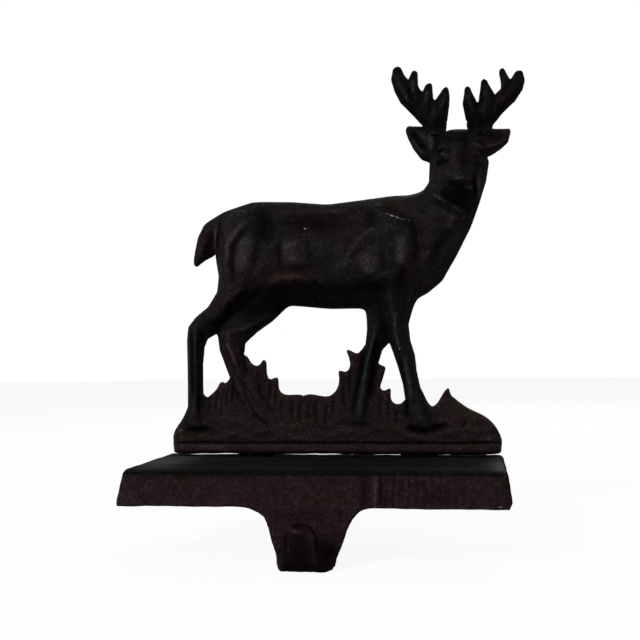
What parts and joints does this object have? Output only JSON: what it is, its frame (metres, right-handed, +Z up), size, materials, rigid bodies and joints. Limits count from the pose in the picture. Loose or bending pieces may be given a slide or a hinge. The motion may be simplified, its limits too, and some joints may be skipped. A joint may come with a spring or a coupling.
{
  "type": "mantel stocking holder",
  "caption": "Cast-iron holder with a standing deer on a tray foot that sits on a mantel, and an up-curled hook in front for a stocking.",
  "frame": {"origin": "the corner where the mantel's top meets its front edge, at the tray's mid width: on the rim's seat plane and on the back face of the tongue", "axes": "+X to the right seen from the front, +Y back over the mantel, +Z up"},
  "size_m": [0.1502, 0.0785, 0.1906],
  "materials": {
    "tray_iron": "dark brown-black cast iron with a pebbled sand-cast skin",
    "figure_iron": "near-black cast iron with a semi-matt sheen on the raised forms",
    "screw_steel": "dull blackened steel"
  },
  "bodies": {
    "root": {"pedestal": "tray_iron", "deer_figure": "figure_iron", "figure_screws": "screw_steel"}
  },
  "joints": []
}
